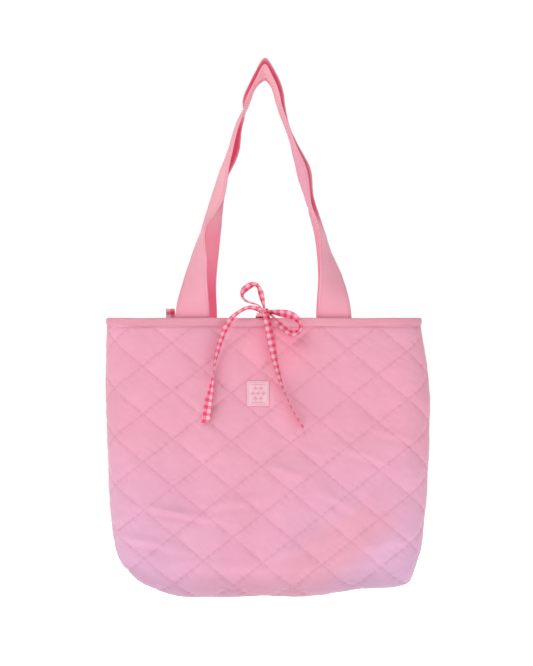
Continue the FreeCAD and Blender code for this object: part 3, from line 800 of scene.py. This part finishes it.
def make_hem(side):
    """The turned hem, an uneven roll round half of the mouth, and the seam under it."""
    name = NAMES[side]
    path = mouth_path(side, MOUTH_HALF_DEPTH - HEM_AXIS_Y, 420)
    out = outward(path, side)
    s = np.arange(len(path)) * np.linalg.norm(path[1] - path[0])
    rings, cloth = [], []
    for girth in np.linspace(0, HEM_GIRTH, 26, endpoint=False):
        angle = 2 * math.pi * girth / HEM_GIRTH
        c, q = math.cos(angle), math.sin(angle)
        wide = HEM_ROUND * np.sign(c) * abs(c) ** 0.62
        tall = (HEM_ROUND if q > 0 else HEM_HEIGHT - HEM_ROUND) * np.sign(q) * abs(q) ** 0.75
        ripple = 0.22 * wavy(s + 300, girth * 2.0 + np.zeros_like(s), 16, 31 + side)
        ripple = ripple + 0.25 * wavy(s, np.full_like(s, girth * 0.7), 45, 33)
        tuck = 0.55 * math.exp(-((tall + 5.2) / 1.1) ** 2)
        reach = wide + np.sign(wide) * (ripple - tuck)
        rings.append(np.stack([path[:, 0] + out[:, 0] * reach, path[:, 1] + out[:, 1] * reach,
                               HEM_AXIS_Z + tall + 0.25 * wavy(s, s * 0, 70, 35)], 1))
        cloth.append(np.stack([s, np.full_like(s, girth), s * 0], 1))
    rings = np.stack(rings, 1)
    cloth = np.stack(cloth, 1).reshape(-1, 3)
    points, faces = closed_strip(rings)
    # Painted light: the front hem is brightened towards the bow.
    painted_bow_light = (side < 0) * np.exp(-((points[:, :1] - 22) / 75) ** 2)
    tint = PINK * ((0.93, 0.89, 0.87) + painted_bow_light * (0.10, 0.12, 0.10))
    obj = new_object(name + "_rolled_hem", points, faces, cloth, tint)
    dress(obj, HEM, "outer_cotton", name + "_hem")

    line = mouth_path(side, -0.2, 900)
    seam = np.stack([line[:, 0], line[:, 1], np.full(len(line), PANEL_TOP_Z - 1.2)], 1)
    away = np.pad(outward(line, side), ((0, 0), (0, 1)))
    sew(name + "_hem_stitches", [along_line(seam[6:-6], away[6:-6], SEAM_PITCH)],
        name + "_hem_topstitch", radius=0.34)


STRAP_FEET = {-1: (-90.0, 86.0), 1: (-82.0, 86.0)}
FOOT_SEAM = ((-17, -309), (17, -309), (17, -327), (-17, -327))  # crossed box on a strap's end


def make_facing(side):
    """The band inside the mouth, swelling over the strap ends that are sewn under it."""
    name = NAMES[side]
    path = mouth_path(side, 7.0, 300)
    out = outward(path, side)
    heights = np.linspace(*FACING_Z, 20)
    swell = np.zeros(len(path))
    for foot_x in STRAP_FEET[side]:
        swell += 1.6 / (1 + np.exp((np.abs(path[:, 0] - foot_x) - STRAP_WIDTH / 2) / 0.9))
    swell[0] = swell[-1] = 0
    outer, inner = [], []
    for z in heights:
        grow = half_depth(z) / MOUTH_HALF_DEPTH
        base = np.stack([path[:, 0], path[:, 1] * grow], 1)
        fade = 1.0 if z > -330 else 0.6
        wave = 0.25 * wavy(path[:, 0], np.full(len(path), z * 1.5), 24, 41 + side)
        lift = (swell * fade + wave + 0.5)[:, None]
        for face, depth in ((inner, lift), (outer, lift - 0.8)):
            face.append(np.pad(base - out * depth, ((0, 0), (0, 1)), constant_values=z))
    points, faces = closed_strip(np.stack(inner + outer[::-1], 1))
    obj = new_object(name + "_facing_band", points, faces, points[:, [0, 2, 1]])
    dress(obj, LINING, "lining_cotton", name + "_facing")

    surface = np.stack(inner)
    inward = np.pad(-out, ((0, 0), (0, 1)))
    seams = [along_line(surface[row][6:-6], inward[6:-6], SEAM_PITCH) for row in (2, 17)]
    for foot_x in STRAP_FEET[side]:
        box = [(foot_x + x, z) for x, z in FOOT_SEAM]
        corners = box + [box[0], box[2], box[1], box[3]]
        for a, b in zip(corners, corners[1:]):
            x, z = np.linspace(a, b, 40).T
            c = np.interp(x, path[:, 0], np.arange(len(path)))
            r = (heights[0] - z) / (heights[0] - heights[-1]) * (len(heights) - 1)
            line = look_up(surface, r, c)
            n = np.tile((0.0, -side, 0.0), (len(line), 1))
            seams.append(along_line(line, n, 3.0))
    sew(name + "_facing_stitches", seams, radius=0.33)


def make_bindings():
    """Tape folded over the seam allowance that stands inwards along the sides and base."""
    x, z = RIM.T
    near, far = [np.stack([x * (1 - inset / 200), np.where(
        z < MOUTH_Z, MOUTH_Z + (z - MOUTH_Z) * (1 - inset / 349), z)], 1) for inset in TAPE_INSET]
    keep = np.flatnonzero(near[:, 1] < PANEL_TOP_Z - 28)
    keep = keep[np.linspace(0, len(keep) - 1, 620).astype(int)]
    near, far = near[keep], far[keep]
    s = run_length(near)
    fold = [(0.0, 1.1), (0.25, 1.35), (0.5, 1.5), (0.52, 1.5), (0.8, 1.45), (0.95, 1.1)]
    profile = fold + [(1.0, 0.0)] + [(share, -y) for share, y in fold[::-1]]
    lean = 1.6 * wavy(s, s * 0, 130, 51)
    rings, cloth = [], []
    for k, (share, y) in enumerate(profile):
        at = near + (far - near) * share
        ripple = 0.2 * wavy(s, np.full_like(s, k * 3.0), 18, 52)
        rings.append(np.stack([at[:, 0], y + ripple * np.sign(y) + lean * share, at[:, 1]], 1))
        cloth.append(np.stack([s, np.full_like(s, k * 1.6), s * 0], 1))
    rings = np.stack(rings, 1)
    cloth = np.stack(cloth, 1)
    ranges = {"left_seam_binding": near[:, 0] < -120, "right_seam_binding": near[:, 0] > 150,
              "base_seam_binding": (near[:, 0] >= -123) & (near[:, 0] <= 152)}
    for node, inside in ranges.items():
        points, faces = closed_strip(rings[inside])
        obj = new_object(node + "_tape", points, faces, cloth[inside].reshape(-1, 3))
        dress(obj, TAPE, "lining_cotton", node)
        middle = near[inside] + (far[inside] - near[inside]) * 0.3
        lift = lean[inside] * 0.3
        sides = []
        for turn in (-1, 1):
            line = np.stack([middle[:, 0], lift + turn * 1.5, middle[:, 1]], 1)
            sides.append(along_line(line, np.tile((0.0, turn, 0.0), (len(line), 1)), 3.2))
        sew(node + "_stitches", sides, radius=0.3)


# ---- straps
def strap_tint(side, surface, normal, share):
    """Strap colour from the shape, with painted shade: crimson in the hollow of the fold, deep
    pink on the inner faces low down, mauve on the outside of the fold high on the right leg.
    """
    base = mix(STRAP_LOW, STRAP_HIGH, np.clip((surface[..., 2] + 300) / 180, 0, 1))
    bulge = surface[:, 8] - (surface[:, 0] + surface[:, -1]) / 2
    depth = np.linalg.norm(bulge, axis=1) / 21.5
    hollow = np.clip((depth - 0.08) / 0.2, 0, 1) * np.sum(-unit(bulge) * normal[:, 8], 1)
    hollow = np.convolve(np.pad(hollow, 17, mode="edge"), np.hanning(35) / 17, mode="valid")
    hollow = np.clip(hollow * 1.45, -1, 1)
    left = surface[:, 8:9, 0] < 0
    within = 1 - np.abs(2 * share - 1) ** np.where(left, 12.0, 8.0)
    facing_in = np.clip((-165 - surface[..., 2]) / 30, 0, 1)
    dim = np.exp(-((surface[..., 2] + 110) / 50) ** 2) * np.where(left, 0.0, 0.6)
    tints = []
    for turn in (1, -1):
        # Painted shade: crimson deep in the hollow of each fold.
        fold = np.clip(turn * hollow, 0, 1)[:, None] * within
        # Painted shade: deep pink on the strap faces turned into the bag, low down.
        inward = np.clip(turn * normal[..., 1] * -side, 0, 1) * facing_in
        # Painted shade: mauve on the outside of the fold, high on the right leg.
        shaded = np.clip(-turn * hollow, 0, 1)[:, None] * dim
        tints.append(mix(mix(mix(base, INNER_SHADE_PINK, inward), WALL_SHADE_MAUVE, shaded), FOLD_SHADE_CRIMSON, fold))
    return np.concatenate([tints[0], tints[1][:, ::-1]], 1).reshape(-1, 3)


def make_strap(side):
    """A strap: its section rows swept into cloth that is creased, painted with shade in its folds,
    lit through and edge sewn.
    """
    name = NAMES[side]
    sections = FRONT_STRAP if side < 0 else BACK_STRAP
    rows = through(sections, np.linspace(0, 1, 330))
    t = np.linspace(0, 1, 17)
    basis = np.stack([(1 - t) ** 3, 3 * t * (1 - t) ** 2, 3 * t * t * (1 - t), t ** 3], 1)
    soft = np.einsum("kc,rcd->rkd", basis, rows)
    firm = np.stack([sample(t * 3, np.arange(4), row) for row in rows])
    surface = soft * 0.55 + firm * 0.45
    widths = np.stack([run_length(row) for row in surface])
    s = run_length(surface[:, 8])
    normal = grid_normals(surface)
    lengths = s[:, None] + 0 * widths
    wave = 0.5 * wavy(lengths, widths * 1.3, 46, 61 + side)
    wave = wave + 0.16 * wavy(lengths, widths, 14, 63)
    calm = np.clip((surface[..., 2] + 290) / 30, 0, 1)
    surface = surface + normal * (wave * calm)[..., None]
    normal = grid_normals(surface)
    share = widths / widths[:, -1:]
    thick = 0.5 * STRAP_THICK * (1 - np.abs(2 * share - 1) ** 10) ** 0.5
    thick = np.maximum(thick, 0.25)
    top = surface + normal * thick[..., None]
    low = surface - normal * thick[..., None]
    loop = np.concatenate([top, low[:, ::-1]], 1)
    across = np.concatenate([widths, widths[:, ::-1]], 1)
    along = np.repeat(s[:, None], loop.shape[1], 1)
    points, faces = closed_strip(loop)
    faces = [f[::-1] for f in faces]
    cloth = np.stack([across, along, across * 0], -1).reshape(-1, 3)
    tint = strap_tint(side, surface, normal, share)

    lines = []
    for turn in (1, -1):
        for at in (np.full(len(rows), EDGE_SEAM), widths[:, -1] - EDGE_SEAM):
            place, out = [np.stack([sample(*row) for row in zip(at, widths, grid)])
                          for grid in (surface, normal)]
            out = unit(out) * turn
            keep = np.abs(place[:, 2]) > 20
            for half in (keep & (place[:, 0] < 0), keep & (place[:, 0] > 0)):
                lines.append(along_line((place + out * 0.46 * STRAP_THICK)[half], out[half], 3.3))
    joined = [np.concatenate(parts) for parts in zip(*lines)]
    more, more_faces = stitches(*joined, length=STITCH, radius=0.2)
    strap_faces = len(faces)
    faces = faces + [tuple(v + len(points) for v in f) for f in more_faces]
    obj = new_object(name + "_strap", np.concatenate([points, more]), faces,
                     np.concatenate([cloth, more]),
                     np.concatenate([tint, np.tile(PINK, (len(more), 1))]))
    obj.data.materials.append(STRAP)
    obj.data.materials.append(THREAD)
    index = np.zeros(len(obj.data.polygons), np.int32)
    index[strap_faces:] = 1
    obj.data.polygons.foreach_set("material_index", index)
    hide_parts(name + "_handle", name + "_handle_ends")
    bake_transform(obj)


# ---- ribbon
def nurbs(points):
    """The route's smooth line, in millimetres, read from its NURBS curve."""
    curve = bpy.data.curves.new("route", "CURVE")
    curve.dimensions = "3D"
    curve.resolution_u = 14
    line = curve.splines.new("NURBS")
    line.points.add(len(points) - 1)
    for point, place in zip(line.points, points):
        point.co = (place[0] * MM, place[1] * MM, place[2] * MM, 1)
    line.order_u = 3
    line.use_endpoint_u = True
    holder = bpy.data.objects.new("route", curve)
    mesh = bpy.data.meshes.new_from_object(holder)
    out = np.array([v.co[:] for v in mesh.vertices]) / MM
    bpy.data.objects.remove(holder)
    bpy.data.curves.remove(curve)
    bpy.data.meshes.remove(mesh)
    return out


def make_ribbon(name, line, turns, width=RIBBON_WIDTH, cup=0.5, cut=0.0, fixed=None):
    """A flat ribbon along a line, turned about it, slightly cupped."""
    n = len(line)
    s = run_length(line)
    turn = np.interp(np.linspace(0, 1, n), np.linspace(0, 1, len(turns)), turns)
    along = unit(np.gradient(line, axis=0))
    if fixed is None:
        flat = unit(np.cross(along, (0.0, 1.0, 0.0)))
        depth = unit(np.cross(along, flat))
        depth = depth * np.where(depth[:, 1:2] < 0, -1, 1)
        angle = np.radians(turn)[:, None]
        across = flat * np.cos(angle) + depth * np.sin(angle)
    else:
        across = np.tile(np.array(fixed, float), (n, 1))
    across = unit(across - along * np.sum(across * along, 1, keepdims=True))
    normal = unit(np.cross(along, across))
    half = width / 2
    flutter = 0.5 * wavy(s, s * 0, 26, len(name))
    top, low, cloth = [], [], []
    for k in np.linspace(-1, 1, 9):
        bend = cup * (1 - k * k) - cup * 0.5 + flutter * k * 0.6
        slide = along * (cut * k * np.clip((s - s[-1] + 8) / 8, 0, 1))[:, None]
        base = line + across * half * k + normal * bend[:, None] + slide
        thick = 0.26 * (1 - abs(k) ** 8) + 0.07
        top.append(base + normal * thick)
        low.append(base - normal * thick)
        cloth.append(np.stack([np.full(n, k * half), s, s * 0], 1))
    loop = np.stack(top + low[::-1], 1)
    cloth = np.stack(cloth + cloth[::-1], 1).reshape(-1, 3)
    points, faces = closed_strip(loop)
    obj = new_object(name, points, faces, cloth)
    obj.data.materials.append(GINGHAM)
    return obj, s[-1] * MM, line * MM


def make_bow():
    """The two hanging tails and the two folded loops."""
    for node, run, body, cut in (("bow_tail_left", BOW_TAIL_LEFT, "left_tail", 1.6),
                                 ("bow_tail_right", BOW_TAIL_RIGHT, "right_tail", -1.6)):
        tucked = [KNOT_TUCK[node]] + run
        obj, length, path = make_ribbon(node + "_ribbon", nurbs(tucked), [p[3] for p in tucked],
                                        cut=cut)
        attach(obj, body)
        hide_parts(node)
        tuple(path[0])
        [tuple(p) for p in path]
    for node, run in (("bow_loop_left", BOW_LOOP_LEFT), ("bow_loop_right", BOW_LOOP_RIGHT)):
        tucked = [KNOT_TUCK[node]] + run + [KNOT_TUCK[node + "_end"]]
        obj, length, path = make_ribbon(node + "_ribbon", nurbs(tucked), [p[3] for p in tucked])
        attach(obj, "bag")
        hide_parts(node)


def make_knot():
    """The ribbon wrapped tight round the bow's middle, in soft pleats."""
    rows, cols = 34, 40
    points, cloth = [], []
    for i in range(rows):
        v = -1 + 2 * i / (rows - 1)
        for j in range(cols):
            angle = 2 * math.pi * j / cols
            pinch = (1 - abs(v) ** 3.2) ** 0.42
            c, s = math.cos(angle), math.sin(angle)
            pleat = 1 + 0.07 * math.cos(v * 8.5 + 0.7 * s) - 0.05 * v * s
            points.append((KNOT_CENTRE[0] + KNOT_HALF[0] * v * (0.92 + 0.06 * s),
                           KNOT_CENTRE[1] + KNOT_HALF[1] * c * pinch * pleat,
                           KNOT_CENTRE[2] + KNOT_HALF[2] * s * pinch * pleat))
            cloth.append((v * 6, angle * 5.2, 0))
    faces = grid_faces(rows, cols, wrap=True)
    obj = new_object("bow_knot_wrap", points, faces, cloth)
    dress(obj, GINGHAM, "gingham_ribbon", "bow_knot")


def make_ties():
    """The ties from the hems to the knot, and the small loop behind the hem."""
    front = [(-7, -20.8, -301), (-7, -21.6, -295.5), (-6.6, -24.4, -293.9), (-6, -26.4, -292),
             (-5, -28.5, -290.3)]
    back = [(0, 20.8, -301), (0, 21.6, -295), (0, 19.5, -291.2), (0, 8, -291.6), (0, -8, -291),
            (0, -19, -288.6), (0, -27.2, -287.6)]
    fold = [(-119, 20.6, -304), (-119, 20.8, -297), (-119, 21.6, -291), (-119.4, 22, -286),
            (-119.6, 23.5, -283.2), (-119.6, 25.6, -283.4), (-119.4, 27, -286.5),
            (-119, 27.2, -291), (-119, 26.8, -294)]
    for node, run, wide, cup in (("front_tie", front, 10.0, 0.4), ("back_tie", back, 11.0, 0.4),
                                 ("key_loop", fold, 11.0, 0.3)):
        obj, _, _ = make_ribbon(node + "_ribbon", nurbs(run), [0, 0], width=wide, cup=cup,
                                fixed=(1, 0, 0))
        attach(obj, "bag")
        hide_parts(node)


# ---- label
def on_front(points):
    """Lay points made on the plane y = 0 against the sloping front face."""
    p = np.array(points, float)
    tilt = math.atan(BASE_SLOPE)
    y, z = p[:, 1], p[:, 2] - LABEL_Z
    return np.stack([p[:, 0], y * math.cos(tilt) + z * math.sin(tilt) - half_depth(LABEL_Z),
                     LABEL_Z + z * math.cos(tilt) - y * math.sin(tilt)], 1)


def signed_power(value, power):
    return np.sign(value) * np.abs(value) ** power


def make_label():
    """The woven patch, its raised motif of petals and bars, and its edge stitches."""
    angle = 2 * math.pi * (np.arange(96) + 0.5) / 96
    x, z = signed_power(np.cos(angle), 0.13), signed_power(np.sin(angle), 0.13)
    rings = [np.stack([LABEL_X + (LABEL_HALF[0] - inset) * x, x * 0 + y,
                       LABEL_Z + (LABEL_HALF[1] - inset) * z], 1)
             for inset, y in ((0.0, 0.5), (0.0, -0.35), (0.35, -0.75), (1.2, -0.9), (1.7, -0.78),
                              (2.3, -0.9), (5.0, -0.95), (9.0, -1.0), (13.0, -1.0))]
    points, faces = closed_strip(np.array(rings))
    obj = new_object("woven_label_patch", on_front(points), faces, points[:, [0, 2, 1]])
    dress(obj, WOVEN, "label_weave", "woven_label")

    verts, faces = [], []

    def raise_shape(x, z, outline, count, levels):
        """Add a low mound at a place on the label; levels are shares of its size, with y."""
        base = len(verts)
        for size, y in levels:
            for j in range(count):
                dx, dz = outline(2 * math.pi * j / count, size)
                verts.append((LABEL_X + x + dx, y, LABEL_Z + z + dz))
        faces.extend(grid_faces(3, count, start=base, wrap=True))
        faces.append(tuple(base + 2 * count + j for j in range(count)))

    def petals(angle, size):
        reach = 3.1 * size * (0.76 + 0.24 * math.cos(4 * angle))
        return reach * math.cos(angle), reach * math.sin(angle)

    def bar(angle, size):
        half_length = 8.6 + 0.5 * size
        return half_length * signed_power(math.cos(angle), 0.3), 0.55 * size * math.sin(angle)

    for row, wide in enumerate((2, 3, 2)):
        for k in range(wide):
            raise_shape((k - (wide - 1) / 2) * 6.6, (1 - row) * 6.2, petals, 20,
                        ((1.0, -0.95), (0.85, -1.28), (0.45, -1.34)))
    for z in (11.2, -11.2):
        raise_shape(0, z, bar, 24, ((1.0, -0.95), (0.8, -1.25), (0.4, -1.3)))
    verts = np.array(verts)
    motif = new_object("woven_label_motif", on_front(verts), faces, verts[:, [0, 2, 1]])
    dress(motif, MOTIF, "label_weave")

    a, b = LABEL_HALF[0] - 1.7, LABEL_HALF[1] - 1.7
    loop = []
    for ends in (((-a + 1, b), (a - 1, b)), ((a, b - 1), (a, -b + 1)),
                 ((a - 1, -b), (-a + 1, -b)), ((-a, -b + 1), (-a, b - 1))):
        line = np.linspace(*[(LABEL_X + x, -0.82, LABEL_Z + z) for x, z in ends], 30)
        loop.append(along_line(on_front(line), np.tile((0.0, -1.0, 0.0), (30, 1)), 2.4))
    sew("label_edge_stitches", loop, "label_stitches", radius=0.28, length=1.8)


# ---- floor
def make_floor():
    rings, count = 8, 64
    angle = 2 * math.pi * np.arange(count) / count
    verts = [np.stack([FLOOR_REACH * k / rings * np.cos(angle),
                       FLOOR_REACH * k / rings * np.sin(angle), angle * 0 + FLOOR_Z], 1)
             for k in range(1, rings + 1)]
    faces = [tuple(range(count))] + grid_faces(rings, count, wrap=True, flip=True)
    floor = new_object("floor", np.concatenate(verts), faces, smooth=False)
    mat = bpy.data.materials.new("floor_white")
    mat.use_nodes = True
    shader = mat.node_tree.nodes["Principled BSDF"]
    for key, value in (("Base Color", (0.9, 0.9, 0.9, 1)), ("Roughness", 0.9),
                       ("Emission Color", (1, 1, 1, 1)), ("Emission Strength", 0.75)):
        shader.inputs[key].default_value = value
    floor.data.materials.append(mat)


make_bow()
for side in (-1, 1):
    make_panel(side)
    make_hem(side)
    make_facing(side)
    make_strap(side)
make_bindings()
make_knot()
make_ties()
make_label()
make_floor()
